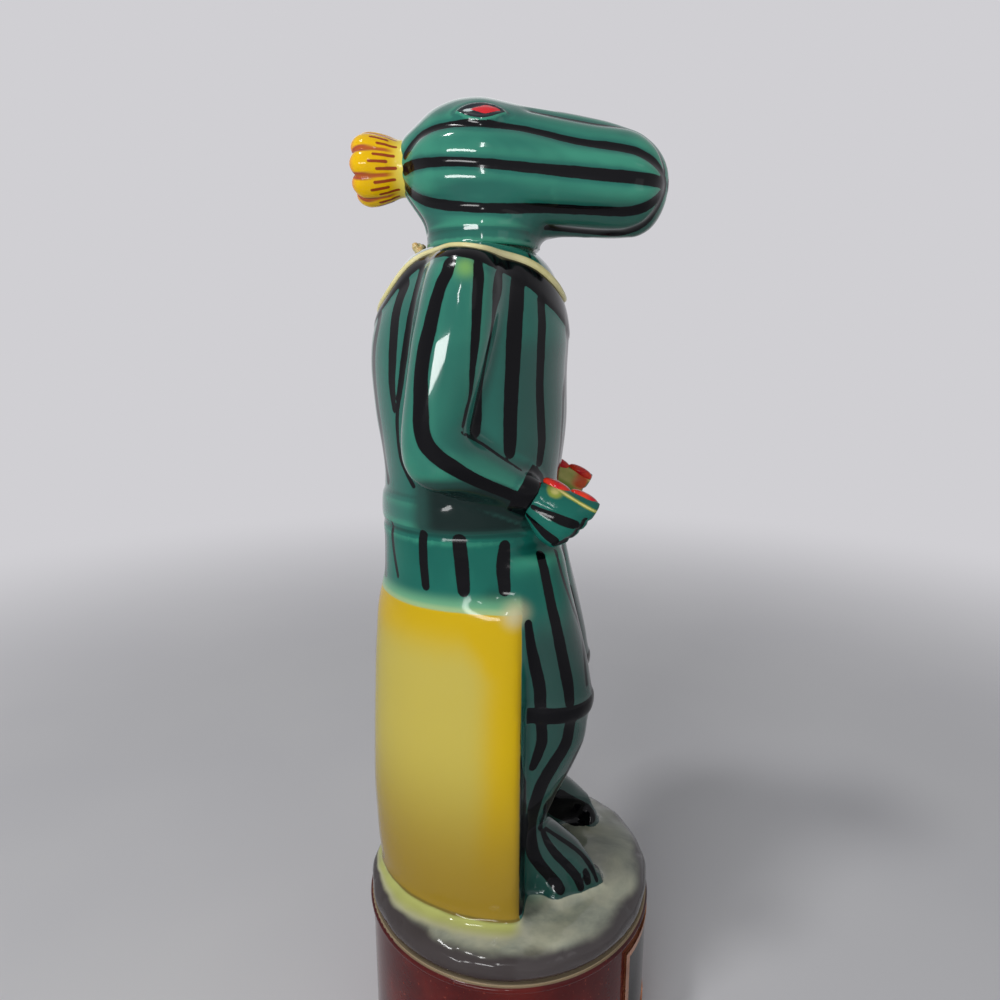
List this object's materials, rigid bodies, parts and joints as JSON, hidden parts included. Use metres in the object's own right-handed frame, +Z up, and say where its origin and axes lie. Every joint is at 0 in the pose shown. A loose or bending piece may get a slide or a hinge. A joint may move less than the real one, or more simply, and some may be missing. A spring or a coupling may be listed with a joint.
{
  "type": "figural liquor decanter",
  "caption": "Glazed ceramic decanter shaped as a squash-headed traditional dancer on a round base; the head lifts off as the stopper.",
  "frame": {"origin": "centre of the foot ring, on the surface the decanter stands on", "axes": "+Z up along the base's axis, +X the way the figure and the name plate face, +Y the figure's left"},
  "size_m": [0.102, 0.102, 0.3162],
  "materials": {
    "figure_glaze": "gloss, teal with black stripes, yellow wrap and grey mound",
    "base_glaze": "gloss, dark red-brown with a gold line",
    "blossom_glaze": "gloss, yellow with red-brown dashes",
    "pod_glaze": "gloss",
    "cord_glaze": "gloss",
    "plate_enamel": "gloss",
    "plate_brass": "satin",
    "cork": "matte",
    "core_plastic": "matte"
  },
  "bodies": {
    "decanter": {"drum_shell": "base_glaze", "plate_frame": "plate_brass", "name_plate": "plate_enamel", "figure_shell": "figure_glaze", "right_hand": "figure_glaze", "left_hand": "figure_glaze", "right_near_pod": "pod_glaze", "right_far_pod": "pod_glaze", "left_near_pod": "pod_glaze", "left_far_pod": "pod_glaze", "shoulder_knot": "cord_glaze"},
    "stopper": {"stopper_core": "core_plastic", "cork_sleeve": "cork"},
    "head": {"head_shell": "figure_glaze", "head_blossom": "blossom_glaze"}
  },
  "joints": [
    {"name": "stopper_lift", "type": "slide", "parent": "decanter", "child": "stopper", "axis": [0, 0, 1], "range_m": [0, 0.045]},
    {"name": "head_turn", "type": "hinge", "parent": "stopper", "child": "head", "pos_m": [-0.0085, 0, 0.285], "axis": [0, 0, 1], "continuous": true}
  ]
}
